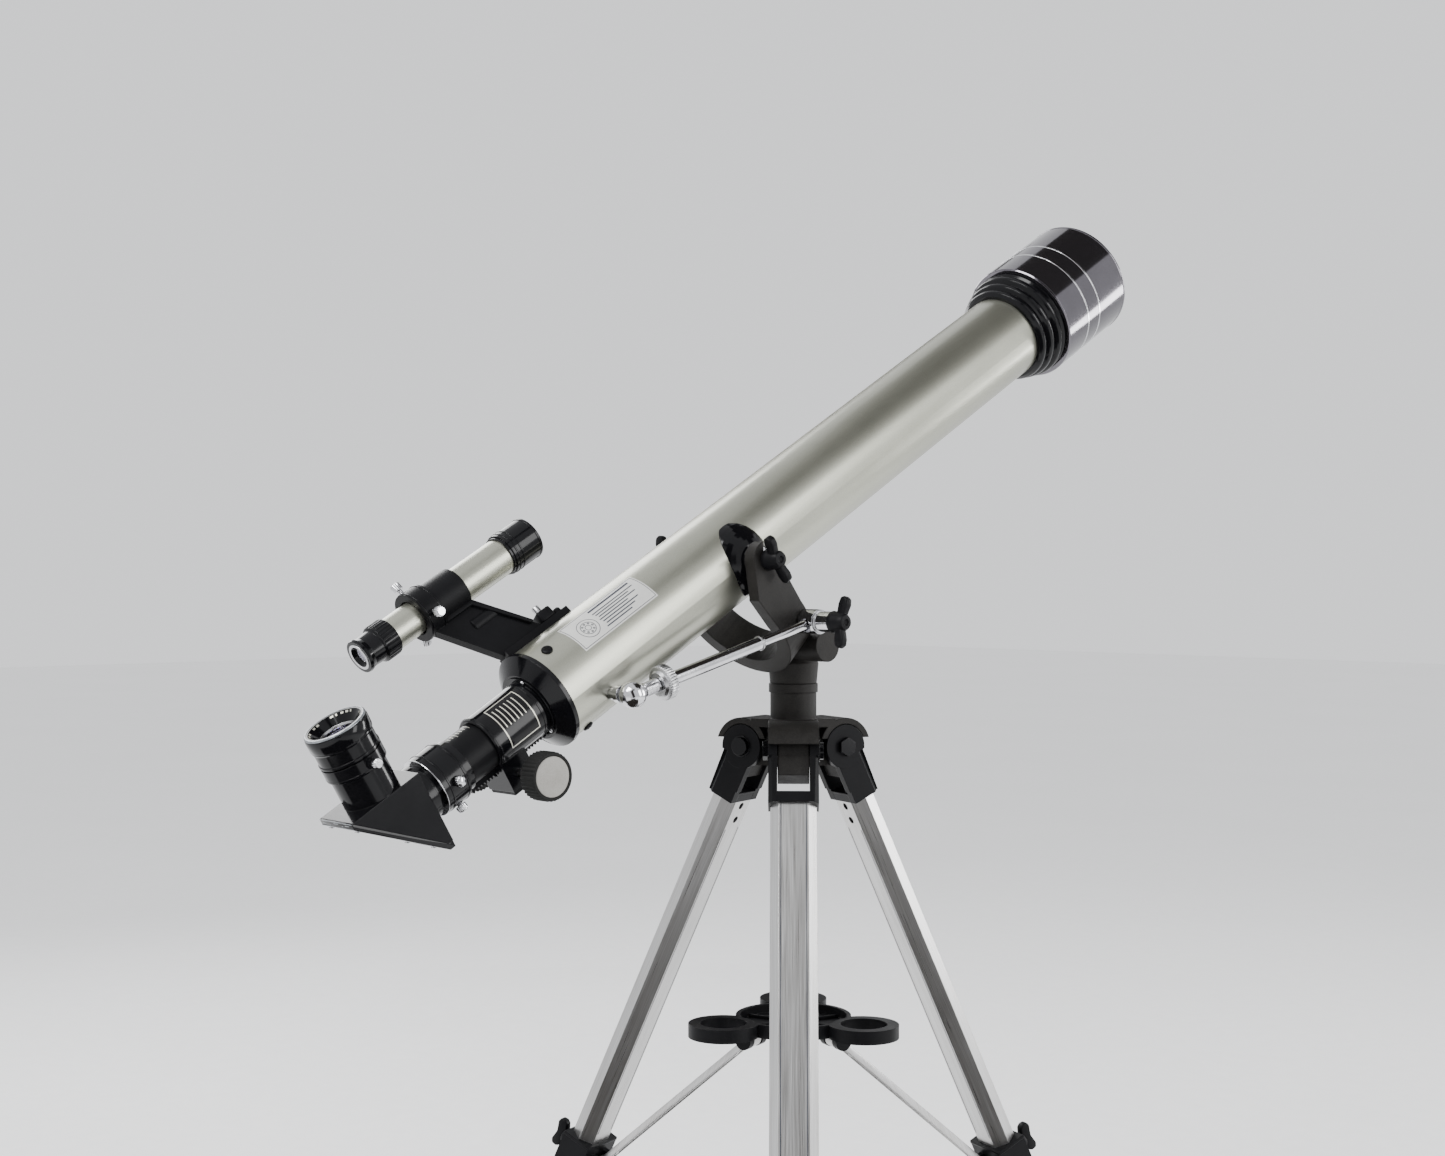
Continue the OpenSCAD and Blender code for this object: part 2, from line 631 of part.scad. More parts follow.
// Cap screws, finder aiming screws and the nuts of the finder's foot
module tube_screws() color(chrome) {
  on_tube() {
    for (roll = [55, 175, 295]) rotate([0, roll, 0]) translate([tube_r, -tube_back + 11, 0]) rod_x(0, 1.4, 3.6);
    rotate([0, -finder_roll, 0]) {
      translate([0, -129, 36]) cylinder(r = 4.8, h = 7);
      translate([0, -129, 42]) cylinder(r = 2.5, h = 7);
      translate([0, -119, 36]) cylinder(r = 3, h = 4);
    }
  }
  at_finder() for (roll = [-90, 30, 150]) rotate([0, roll, 0]) translate([0, -191, 0]) {
    rod_x(10.8, 20, 1.8);
    rod_x(20, 25, 3.2);
  }
}

// ---------------------------------------------------------------- nodes

tripod_head();
leg_bolts();
azimuth_lock();
leg_fitting(0);  // leg_fitting_1
leg_fitting(1);  // leg_fitting_2
leg_fitting(2);  // leg_fitting_3
upper_leg(0);  // upper_leg_1
upper_leg(1);  // upper_leg_2
upper_leg(2);  // upper_leg_3
leg_collar(0);  // leg_collar_1
leg_collar(1);  // leg_collar_2
leg_collar(2);  // leg_collar_3
leg_lock(0);  // leg_lock_1
leg_lock(1);  // leg_lock_2
leg_lock(2);  // leg_lock_3
lower_leg(0);  // lower_leg_1
lower_leg(1);  // lower_leg_2
lower_leg(2);  // lower_leg_3
foot(0);  // foot_1
foot(1);  // foot_2
foot(2);  // foot_3
brace_arm(0);  // brace_arm_1
brace_arm(1);  // brace_arm_2
brace_arm(2);  // brace_arm_3
accessory_tray();
yoke();
altitude_bolts();
altitude_wing_right();
altitude_wing_left();
tube_saddles();
rod_stud();
slow_motion_rod();
fine_adjust_wheel();
clamp_head();
clamp_shank();
clamp_wing();
main_tube();
tube_baffles();
objective_cell();
crown_lens();
flint_lens();
dew_shield();
rear_cap();
focuser_body();
tube_screws();
draw_tube();
focus_pinion();
focus_knobs();
pinion_cover();
eyepiece_holder();
holder_screws();
diagonal_housing();
diagonal_mirror();
eyepiece_body();
eyepiece_lens();
finder_tube();
finder_cell();
finder_lens();
finder_eyepiece();
finder_bracket();
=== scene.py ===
import json
import math
import bmesh
import bpy
from mathutils import Matrix, Vector


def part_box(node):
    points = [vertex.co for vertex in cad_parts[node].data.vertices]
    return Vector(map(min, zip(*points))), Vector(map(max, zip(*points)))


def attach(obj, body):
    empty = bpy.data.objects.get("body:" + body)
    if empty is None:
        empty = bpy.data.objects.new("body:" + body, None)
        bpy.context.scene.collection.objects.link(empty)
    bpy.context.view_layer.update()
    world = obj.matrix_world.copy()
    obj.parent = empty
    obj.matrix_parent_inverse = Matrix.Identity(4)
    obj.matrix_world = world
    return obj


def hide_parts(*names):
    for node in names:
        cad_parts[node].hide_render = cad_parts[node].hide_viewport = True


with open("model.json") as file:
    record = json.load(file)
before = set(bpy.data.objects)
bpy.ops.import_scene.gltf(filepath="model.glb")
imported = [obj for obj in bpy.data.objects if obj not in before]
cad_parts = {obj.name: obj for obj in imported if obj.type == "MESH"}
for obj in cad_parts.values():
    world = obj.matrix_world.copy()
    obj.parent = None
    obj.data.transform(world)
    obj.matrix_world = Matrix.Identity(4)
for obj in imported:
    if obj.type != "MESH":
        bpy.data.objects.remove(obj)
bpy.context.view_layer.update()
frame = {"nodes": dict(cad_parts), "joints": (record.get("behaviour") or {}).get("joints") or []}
JOINT = {j["name"]: j for j in frame["joints"]}
MM = 0.001
LEGS = (1, 2, 3)


# ---------------------------------------------------------------- frames taken from the record

def point(name):
    return Vector(JOINT[name]["pos_m"])


def axis(name):
    return Vector(JOINT[name]["axis"])


def placed(origin, x, y):
    """Matrix from millimetres in a local frame to metres in the row frame."""
    x = x.normalized()
    z = x.cross(y).normalized()
    y = z.cross(x)
    turn = Matrix((x, y, z)).transposed().to_4x4()
    return Matrix.Translation(origin) @ turn @ Matrix.Scale(MM, 4)


RIGHT = Vector((1, 0, 0))
UP = Vector((0, 0, 1))
ALONG = -axis("focus")
PIVOT = point("altitude")
TUBE = placed(PIVOT, RIGHT, ALONG)
ALTITUDE = placed(PIVOT, RIGHT, Vector((0, 1, 0)))
FINDER_ROLL = -35
FINDER = placed(
    point("finder_focus") + ALONG * 0.225,
    Matrix.Rotation(math.radians(FINDER_ROLL), 3, ALONG) @ RIGHT,
    ALONG,
)
ROD = placed(point("rod_swing"), RIGHT, axis("fine_adjust"))
CLAMP = placed(point("clamp_swivel") - RIGHT * 0.05, RIGHT, axis("fine_adjust"))
PINION = placed(point("focus_turn"), RIGHT, ALONG)
PLAN = Vector((point("azimuth").x, point("azimuth").y, 0))


def leg_frame(n):
    """Origin on the hinge, -Z down the leg, +X out of its outer face."""
    down = axis(f"leg_{n}_extend")
    hinge = axis(f"leg_{n}_fold")
    return placed(point(f"leg_{n}_fold"), hinge.cross(-down), hinge)


# ---------------------------------------------------------------- looks

GRAIN_SQUEEZE = 0.012      # scale of drawn-out grain along its direction, against 1 across it
TINT_SPAN = (0.32, 0.68)   # values of the noise between which the colour changes
ROUGH_SPAN = (0.3, 0.7)    # and the roughness
COAT_ROUGHNESS = 0.06
GLASS_IOR = 1.5
SHEEN = 1.25               # light tint of a lens against its dark one


def nodes_of(material):
    material.use_nodes = True
    tree = material.node_tree
    return tree, tree.nodes["Principled BSDF"]


def add_node(tree, kind, links=None, **values):
    node = tree.nodes.new(kind)
    for key, value in values.items():
        setattr(node, key, value)
    for socket, source in (links or {}).items():
        if isinstance(source, bpy.types.NodeSocket):
            tree.links.new(source, node.inputs[socket])
        else:
            node.inputs[socket].default_value = source
    return node


def look(name, dark, light, rough, metal=0.0, patch=18.0, fine=900.0, bump=0.15, depth=0.05,
         edge=0.35, coat=0.0, stretch=None, specular=0.5, spread=0.5):
    """Colour drifts between dark and light, roughness between its two values, and a fine grain
    raises the surface. stretch is the direction, in the row frame, that the grain follows.
    The Mix nodes' sockets go by number: 0 is the factor, 2 and 3 values, 6 and 7 colours."""
    material = bpy.data.materials.new(name)
    tree, shader = nodes_of(material)
    place = add_node(tree, "ShaderNodeTexCoord").outputs["Object"]
    if stretch is not None:
        turn = stretch.to_track_quat("Z", "Y").inverted().to_euler()
        place = add_node(tree, "ShaderNodeMapping", {"Vector": place, "Rotation": turn}).outputs[0]
        place = add_node(tree, "ShaderNodeMapping",
                         {"Vector": place, "Scale": (1, 1, GRAIN_SQUEEZE)}).outputs[0]
    broad = add_node(tree, "ShaderNodeTexNoise", {"Vector": place, "Scale": patch, "Detail": 4.0,
                                                  "Roughness": 0.6})
    grain = add_node(tree, "ShaderNodeTexNoise", {"Vector": place, "Scale": fine, "Detail": 3.0})
    both = add_node(tree, "ShaderNodeMix", {0: spread, 2: broad.outputs["Fac"],
                                            3: grain.outputs["Fac"]}, data_type="FLOAT")
    ramp = add_node(tree, "ShaderNodeMapRange", {"Value": both.outputs[0],
                                                 "From Min": TINT_SPAN[0],
                                                 "From Max": TINT_SPAN[1]})
    tint = add_node(tree, "ShaderNodeMix", {0: ramp.outputs[0], 6: (*dark, 1), 7: (*light, 1)},
                    data_type="RGBA")
    tree.links.new(tint.outputs[2], shader.inputs["Base Color"])
    rub = add_node(tree, "ShaderNodeMapRange", {"Value": both.outputs[0],
                                                "From Min": ROUGH_SPAN[0],
                                                "From Max": ROUGH_SPAN[1],
                                                "To Min": rough[0], "To Max": rough[1]})
    tree.links.new(rub.outputs[0], shader.inputs["Roughness"])
    links = {"Height": grain.outputs["Fac"], "Strength": bump, "Distance": depth * MM}
    if edge:
        soft = add_node(tree, "ShaderNodeBevel", {"Radius": edge * MM}, samples=6)
        links["Normal"] = soft.outputs[0]
    raised = add_node(tree, "ShaderNodeBump", links)
    tree.links.new(raised.outputs[0], shader.inputs["Normal"])
    shader.inputs["Metallic"].default_value = metal
    shader.inputs["Specular IOR Level"].default_value = specular
    shader.inputs["Coat Weight"].default_value = coat
    shader.inputs["Coat Roughness"].default_value = COAT_ROUGHNESS
    return material


def glass(name, tint):
    """Coated lens: clear, with a faint coloured sheen that drifts over its face."""
    material = look(name, tint, tuple(min(1, c * SHEEN) for c in tint), (0.01, 0.03), bump=0.0,
                    edge=0, specular=0.8)
    shader = material.node_tree.nodes["Principled BSDF"]
    shader.inputs["Transmission Weight"].default_value = 1.0
    shader.inputs["IOR"].default_value = GLASS_IOR
    return material


LOOKS = {
    "cast": look("cast", (0.007, 0.0065, 0.006), (0.022, 0.0205, 0.019), (0.42, 0.66), metal=0.1,
                 patch=70, fine=1300, bump=0.8, depth=0.16, edge=1.3, specular=0.15),
    "black": look("black", (0.003, 0.003, 0.0035), (0.007, 0.007, 0.008), (0.30, 0.48), patch=30,
                  fine=2200, bump=0.25, depth=0.05, edge=0.6, specular=0.09),
    "gloss": look("gloss", (0.002, 0.002, 0.0025), (0.004, 0.004, 0.005), (0.08, 0.18), patch=25,
                  fine=700, bump=0.05, depth=0.04, edge=0.5, coat=0.07, specular=0.17),
    "chrome": look("chrome", (0.50, 0.50, 0.52), (0.74, 0.74, 0.76), (0.07, 0.18), metal=1,
                   patch=70, fine=1400, bump=0.06, depth=0.03, edge=0.4),
    "turned": look("turned", (0.36, 0.36, 0.37), (0.58, 0.58, 0.59), (0.22, 0.36), metal=1,
                   patch=80, fine=1800, bump=0.2, depth=0.03, edge=0.25),
    "champagne": look("champagne", (0.295, 0.300, 0.245), (0.46, 0.46, 0.395), (0.27, 0.38),
                      metal=0.92, patch=9, fine=3600, bump=0.12, depth=0.02, edge=0.3, coat=0.2,
                      spread=0.75, specular=0.4),
    "shield": look("shield", (0.10, 0.095, 0.105), (0.16, 0.15, 0.17), (0.08, 0.15), metal=0.95,
                   patch=14, fine=900, bump=0.05, depth=0.02, edge=0.4, coat=0.3, specular=0.4),
    "flat": look("flat", (0.003, 0.003, 0.003), (0.006, 0.006, 0.006), (0.75, 0.95), patch=50,
                 fine=1600, bump=0.3, depth=0.08, edge=0, specular=0.1),
    "rubber": look("rubber", (0.005, 0.005, 0.005), (0.012, 0.012, 0.011), (0.62, 0.85), patch=40,
                   fine=1300, bump=0.4, depth=0.08, edge=0.6, specular=0.2),
    "knob_grey": look("knob_grey", (0.23, 0.22, 0.20), (0.31, 0.30, 0.28), (0.35, 0.5), patch=60,
                      fine=1500, bump=0.15, depth=0.04, specular=0.3),
    "label": look("label", (0.50, 0.50, 0.48), (0.66, 0.66, 0.64), (0.28, 0.4), metal=0.25,
                  patch=40, fine=2400, bump=0.05, depth=0.02, edge=0),
    # Pale metal for worn flecks, also used as painted highlight on the eyepiece rim and along the
    # diagonal cover's edges.
    "wear_and_sheen": look("wear_and_sheen", (0.10, 0.11, 0.12), (0.42, 0.44, 0.46), (0.2, 0.4), metal=0.7, patch=260,
                 fine=2600, bump=0.2, depth=0.03, edge=0),
    # Dark ink for printed marks, also used as painted shade in the grooves of the legs.
    "print_and_groove_shade": look("print_and_groove_shade", (0.020, 0.022, 0.035), (0.040, 0.043, 0.060), (0.4, 0.5), patch=90,
                  fine=2000, bump=0.05, depth=0.02, edge=0, specular=0.2),
    "silver_ink": look("silver_ink", (0.50, 0.49, 0.42), (0.68, 0.67, 0.58), (0.3, 0.42), metal=0.6,
                       patch=120, fine=2600, bump=0.05, depth=0.02, edge=0),
    "glass": glass("glass", (0.80, 0.92, 0.97)),
    "coated": glass("coated", (0.70, 0.66, 0.95)),
    "mirror": look("mirror", (0.82, 0.83, 0.85), (0.88, 0.89, 0.91), (0.01, 0.03), metal=1,
                   bump=0.0, edge=0),
}
for n in LEGS:
    LOOKS[f"alloy_{n}"] = look(f"alloy_{n}", (0.40, 0.39, 0.38), (0.62, 0.62, 0.62), (0.24, 0.40),
                               metal=0.97, patch=120, fine=1900, bump=0.14, depth=0.04, edge=0.5,
                               stretch=axis(f"leg_{n}_extend"), spread=0.6)

NODE_LOOK = {
    "tripod_head": "cast", "leg_bolts": "gloss", "azimuth_lock": "black",
    "yoke": "cast", "altitude_bolts": "chrome",
    "altitude_wing_right": "black", "altitude_wing_left": "black", "clamp_wing": "black",
    "tube_saddles": "gloss", "rod_stud": "chrome", "slow_motion_rod": "chrome",
    "fine_adjust_wheel": "turned", "clamp_head": "chrome", "clamp_shank": "chrome",
    "main_tube": "champagne", "tube_baffles": "flat", "objective_cell": "gloss",
    "crown_lens": "coated", "flint_lens": "glass", "dew_shield": "shield", "rear_cap": "gloss",
    "focuser_body": "gloss", "tube_screws": "chrome", "draw_tube": "black",
    "focus_pinion": "turned", "focus_knobs": "black", "pinion_cover": "black",
    "eyepiece_holder": "gloss", "holder_screws": "chrome", "diagonal_housing": "gloss",
    "diagonal_mirror": "mirror", "eyepiece_body": "gloss", "eyepiece_lens": "coated",
    "finder_tube": "champagne", "finder_cell": "gloss", "finder_lens": "coated",
    "finder_eyepiece": "gloss", "finder_bracket": "black", "accessory_tray": "black",
}
for n in LEGS:
    for part in ("leg_fitting", "leg_collar", "leg_lock"):
        NODE_LOOK[f"{part}_{n}"] = "black"
    for part in ("upper_leg", "lower_leg", "brace_arm"):
        NODE_LOOK[f"{part}_{n}"] = f"alloy_{n}"
    NODE_LOOK[f"foot_{n}"] = "rubber"

for name, obj in frame["nodes"].items():
    obj.data.materials.clear()
    obj.data.materials.append(LOOKS[NODE_LOOK[name]])


# ---------------------------------------------------------------- mesh makers, in millimetres

STEPS_PER_TOOTH = 6
ROWS_PER_TURN = 6
MERGE = 1e-5               # points closer than this become one
CREASE = 38                # degrees; edges that bend more are drawn sharp


def lathe(profile, segments=72, teeth=0, closed=True):
    """Solid turned about local Y. A third number in a profile point is the depth of the teeth
    that are cut there."""
    bm = bmesh.new()
    count = teeth * STEPS_PER_TOOTH if teeth else segments
    rings = []
    for i in range(count):
        a = 2 * math.pi * i / count
        dip = 0.5 - 0.5 * math.cos(teeth * a)
        ring = []
        for entry in profile:
            r = entry[0] - (entry[2] * dip if len(entry) > 2 else 0)
            ring.append(bm.verts.new((r * math.cos(a), entry[1], r * math.sin(a))))
        rings.append(ring)
    steps = len(profile) if closed else len(profile) - 1
    for i in range(count):
        near, far = rings[i], rings[(i + 1) % count]
        for k in range(steps):
            m = (k + 1) % len(profile)
            bm.faces.new((near[k], near[m], far[m], far[k]))
    bmesh.ops.remove_doubles(bm, verts=bm.verts, dist=MERGE)
    bmesh.ops.recalc_face_normals(bm, faces=bm.faces)
    return bm


def soft_ring(r0, r1, y0, y1, soft, segments):
    """Band about local Y, from y0 to y1 at r0 and narrower by soft at either side at r1."""
    return lathe([(r0, y0), (r1, y0 + soft), (r1, y1 - soft), (r0, y1)], segments)


def thread(y0, y1, r, pitch, depth, segments=48):
    """Screw thread about local Y, as one grid whose radius follows the helix."""
    bm = bmesh.new()
    rows = int((y1 - y0) / pitch * ROWS_PER_TURN)
    grid = []
    for j in range(rows + 1):
        y = y0 + (y1 - y0) * j / rows
        ring = []
        for i in range(segments):
            phase = (y / pitch - i / segments) % 1.0
            high = 1 - abs(2 * phase - 1)
            a = 2 * math.pi * i / segments
            reach = r - depth + depth * high
            ring.append(bm.verts.new((reach * math.cos(a), y, reach * math.sin(a))))
        grid.append(ring)
    for j in range(rows):
        for i in range(segments):
            k = (i + 1) % segments
            bm.faces.new((grid[j][i], grid[j + 1][i], grid[j + 1][k], grid[j][k]))
    bm.faces.new(grid[0])
    bm.faces.new(reversed(grid[-1]))
    bmesh.ops.recalc_face_normals(bm, faces=bm.faces)
    return bm


def prism(outline, z0, z1, bevel=0.0, segments=3):
    """Outline in local X and Y, drawn out along Z, its edges rounded."""
    bm = bmesh.new()
    low = [bm.verts.new((x, y, z0)) for x, y in outline]
    face = bm.faces.new(low)
    grown = bmesh.ops.extrude_face_region(bm, geom=[face])
    moved = [v for v in grown["geom"] if isinstance(v, bmesh.types.BMVert)]
    bmesh.ops.translate(bm, verts=moved, vec=(0, 0, z1 - z0))
    bmesh.ops.recalc_face_normals(bm, faces=bm.faces)
    if bevel:
        bmesh.ops.bevel(bm, geom=list(bm.edges), offset=bevel, segments=segments, profile=0.5,
                        affect="EDGES", clamp_overlap=True)
    return bm


def slab(x, y, z, bevel=0.5):
    """Rounded block between the given pairs of limits."""
    return prism([(x[0], y[0]), (x[1], y[0]), (x[1], y[1]), (x[0], y[1])], z[0], z[1], bevel)


def moved(bm, matrix):
    bm.transform(matrix)
    return bm


def joined(parts):
    """One bmesh from several."""
    whole = bmesh.new()
    for part in parts:
        mesh = mesh_from("joining", part)
        whole.from_mesh(mesh)
        bpy.data.meshes.remove(mesh)
    return whole


def mesh_from(name, bm):
    mesh = bpy.data.meshes.new(name)
    bm.to_mesh(mesh)
    bm.free()
    return mesh


def linked(name, data):
    """New object in the scene."""
    obj = bpy.data.objects.new(name, data)
    bpy.context.scene.collection.objects.link(obj)
    return obj


def piece(name, bm, matrix, body, finish, replaces=None):
    """Visible piece that rides a body, and may take the place of a CAD node."""
    mesh = mesh_from(name, moved(bm, matrix))
    mesh.shade_smooth()
    mesh.set_sharp_from_angle(angle=math.radians(CREASE))
    mesh.materials.append(LOOKS[finish])
    obj = linked(name, mesh)
    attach(obj, body)
    if replaces:
        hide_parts(replaces)


def turn_x(degrees):
    return Matrix.Rotation(math.radians(degrees), 4, "X")


def turn_y(degrees):
    return Matrix.Rotation(math.radians(degrees), 4, "Y")


def turn_z(degrees):
    return Matrix.Rotation(math.radians(degrees), 4, "Z")


def shift(x, y, z):
    return Matrix.Translation((x, y, z))


SIDEWAYS = turn_z(-90)     # what is turned about Y then points along +X
UPWARDS = turn_x(90)       # and along +Z
ACROSS = Matrix(((0, 0, 1, 0), (1, 0, 0, 0), (0, 1, 0, 0), (0, 0, 0, 1)))   # outline in Y and Z


def cross_head(r, height):
    """Pan head of a screw that points along +Y, its base at y 0."""
    dome = [(0, 0), (r, 0), (r, height * 0.45)]
    dome += [(r * math.cos(a), height * (0.45 + 0.55 * math.sin(a)))
             for a in (0.35, 0.7, 1.05, 1.35)]
    dome.append((0, height))
    return lathe(dome, 40, closed=False)


def cross_recess_shade(r, y):
    """Dark cross on a pan head, on the plane at y: painted shade that stands in for the shadowed recess.
    """
    arm = r * 0.62
    wide = r * 0.13
    outline = [(-wide, -arm), (wide, -arm), (wide, -wide), (arm, -wide), (arm, wide), (wide, wide),
               (wide, arm), (-wide, arm), (-wide, wide), (-arm, wide), (-arm, -wide), (-wide, -wide)]
    return moved(prism(outline, 0, 0.12), turn_x(-90) @ shift(0, 0, y))


PATCH_STEP = 0.8           # mm between the points of a patch that bends round a cylinder
RING_STEPS = 40


def on_cylinder(r, boxes=(), rings=()):
    """Thin printed patches on a cylinder about local Y: boxes and flat rings. u runs over its
    surface from the top to the right."""
    bm = bmesh.new()

    def spot(u, v, lift):
        a = u / r
        return bm.verts.new(((r + lift) * math.sin(a), v, (r + lift) * math.cos(a)))

    for u0, u1, v0, v1, lift in boxes:
        steps = max(1, int(abs(u1 - u0) / PATCH_STEP))
        low = [spot(u0 + (u1 - u0) * i / steps, v0, lift) for i in range(steps + 1)]
        high = [spot(u0 + (u1 - u0) * i / steps, v1, lift) for i in range(steps + 1)]
        for i in range(steps):
            bm.faces.new((low[i], low[i + 1], high[i + 1], high[i]))
    for u, v, r0, r1, lift in rings:
        turns = [2 * math.pi * i / RING_STEPS for i in range(RING_STEPS)]
        inner, outer = ([spot(u + size * math.cos(a), v + size * math.sin(a), lift) for a in turns]
                        for size in (r0, r1))
        for i in range(RING_STEPS):
            k = (i + 1) % RING_STEPS
            bm.faces.new((inner[i], inner[k], outer[k], outer[i]))
    bmesh.ops.recalc_face_normals(bm, faces=bm.faces)
    for face in bm.faces:
        centre = face.calc_center_median()
        if face.normal.dot(Vector((centre.x, 0, centre.z))) < 0:
            face.normal_flip()
    return bm


def open_below(bm, half):
    """A ring about Y with its lowest part left out, where the rack passes."""
    cut = [face for face in bm.faces if face.calc_center_median().z < 0
           and abs(face.calc_center_median().x) < half]
    bmesh.ops.delete(bm, geom=cut, context="FACES")
    bmesh.ops.holes_fill(bm, edges=[edge for edge in bm.edges if edge.is_boundary], sides=0)
    return bm


def frame_boxes(u0, u1, v0, v1, line, lift):
    """The four lines of a printed frame."""
    return [(u0, u1, v0, v0 + line, lift), (u0, u1, v1 - line, v1, lift),
            (u0, u0 + line, v0, v1, lift), (u1 - line, u1, v0, v1, lift)]


WING_BORE = 4.05


def wing(body, name, matrix, turn, node):
    """Wing knob pointing along +X of its frame: round hub, dished cap and two swept blades."""
    hub = lathe([(WING_BORE, 0), (7.0, 0), (7.4, 0.8), (7.0, 3.2), (5.9, 7.5), (5.6, 10.5),
                 (4.6, 11.8), (2.4, 12.0), (1.6, 11.0), (0, 11.0), (0, 9.2), (WING_BORE, 9.2)], 64)
    parts = [moved(hub, SIDEWAYS)]
    for side in (0, 180):
        outline = [(4.2, 3.2), (4.8, 12.2), (6.2, 16.4), (9.4, 17.4), (12.4, 15.2), (12.6, 11.0),
                   (11.0, 6.6), (9.8, 3.0)]
        blade = prism(outline, -2.7, 2.7, bevel=1.1, segments=3)
        parts.append(moved(blade, turn_x(side)))
    piece(name, joined(parts), matrix @ turn_x(turn), body, "black", node)


# ---------------------------------------------------------------- dew shield and objective

for which, middle in (("inner", 393.0), ("outer", 409.0)):
    band = soft_ring(45.3, 45.72, middle - 0.9, middle + 0.9, 0.3, 120)
    piece(f"shield_band_{which}", band, TUBE, "tube", "chrome")
lip = lathe([(45.3, 443.9), (45.75, 444.5), (45.85, 445.6), (45.4, 446.7), (44.6, 447.0),
             (44.5, 446.0)], 120)
piece("shield_lip", lip, TUBE, "tube", "shield")
liner = lathe([(43.75, 369), (43.75, 446.2), (43.45, 446.2), (43.3, 369)], 96)
piece("shield_liner", liner, TUBE, "tube", "flat")

ring = lathe([(31.15, 380.85), (31.15, 384.6), (30.6, 385.0), (29.6, 384.8), (28.9, 381.6),
              (29.6, 381.0)], 96)
piece("lens_ring", ring, TUBE, "tube", "flat")
keys = [moved(slab((-1.6, 1.6), (384.2, 385.15), (28.8, 31.3), 0.1), turn_y(a)) for a in (40, 220)]
piece("lens_ring_keys", joined(keys), TUBE, "tube", "black")

# ---------------------------------------------------------------- label on the tube

TUBE_R = 32.0
FILM = 0.10                # thickness of the label
PRINT = 0.17               # height of its print above the tube
label_u0 = math.radians(11) * TUBE_R
label_u1 = math.radians(56) * TUBE_R
back = on_cylinder(TUBE_R, [(label_u0, label_u1, -143, -76, FILM)])
piece("tube_label", back, TUBE, "tube", "label")
marks = frame_boxes(label_u0 + 1, label_u1 - 1, -142, -77, 0.35, PRINT)
marks += [(label_u0 + 3.0, label_u0 + 4.6, -119, -82, PRINT)]
for k, short in enumerate((0, 6, 2, 11, 4, 9, 14)):
    u = label_u0 + 7.2 + k * 2.2
    marks.append((u, u + 0.8, -119 + (k % 3) * 0.8, -82 - short, PRINT))
rose_u, rose_v, petals = (label_u0 + label_u1) / 2 + 1, -129, 3.7
rosette = [(rose_u, rose_v, r - 0.4, r, PRINT) for r in (7.6, 5.2, 2.2)]
for k in range(8):
    a = math.radians(k * 45)
    rosette.append((rose_u + petals * math.cos(a), rose_v + petals * math.sin(a), 0.3, 0.75, PRINT))
piece("tube_label_ink", on_cylinder(TUBE_R, marks, rosette), TUBE, "tube", "print_and_groove_shade")

# ---------------------------------------------------------------- screws of the rear cap

cap_screws, cap_recess_shades = [], []
for roll in (55, 175, 295):
    seat = turn_y(roll) @ shift(31.9, -160, 0) @ SIDEWAYS
    cap_screws.append(moved(cross_head(3.6, 1.6), seat))
    # Dark crosses on the cap screws: painted shade in place of their recesses.
    cap_recess_shades.append(moved(cross_recess_shade(3.4, 1.5), seat))
flange_screws = []
for roll in (-70, 50, 170):
    seat = turn_y(roll) @ shift(19.9, -181.7, 0) @ turn_x(180)
    flange_screws.append(moved(cross_head(1.5, 1.1), seat))
piece("cap_screws", joined(cap_screws), TUBE, "tube", "black")
piece("cap_screw_recess_shade", joined(cap_recess_shades), TUBE, "tube", "flat")
piece("flange_screws", joined(flange_screws), TUBE, "tube", "chrome")

# ---------------------------------------------------------------- finder and its bracket

to_finder = turn_y(FINDER_ROLL)
BRACKET = TUBE @ to_finder
lugs = [slab((-6.0, 6.0), (-134.6, -123.4), (35.9, 44.0), 1.6),
        moved(lathe([(0, -172), (4.6, -172), (5.2, -171.4), (5.2, -153.6), (4.6, -153), (0, -153)], 48,
                    closed=False), shift(0, 0, 62))]
piece("finder_bracket_lugs", joined(lugs), BRACKET, "tube", "black")
flange = [(-184, 76.5), (-161.5, 76.5), (-138.5, 41.5), (-141.5, 41.0), (-163.5, 73.0), (-184, 73.0)]
piece("finder_bracket_flange", prism(flange, -6.2, 6.2, 0.8, 2), BRACKET @ ACROSS, "tube", "black")
nut = lathe([(0, 36), (5.0, 36), (5.0, 36.6, 0.5), (5.0, 42.4, 0.5), (4.4, 43), (0, 43)], teeth=26,
            closed=False)
stem = lathe([(0, 42), (2.5, 42), (2.5, 48.4), (2.1, 49), (0, 49)], 32, closed=False)
seat = to_finder @ shift(0, -129, 0) @ UPWARDS
piece("finder_foot_nut", joined([moved(part, seat) for part in (nut, stem)]), TUBE, "tube", "turned",
      "tube_screws")
pin = lathe([(0, 36), (3, 36), (3, 39), (2.2, 40), (0, 40)], 32, closed=False)
piece("finder_foot_pin", moved(pin, to_finder @ shift(0, -119, 0) @ UPWARDS), TUBE, "tube", "black")

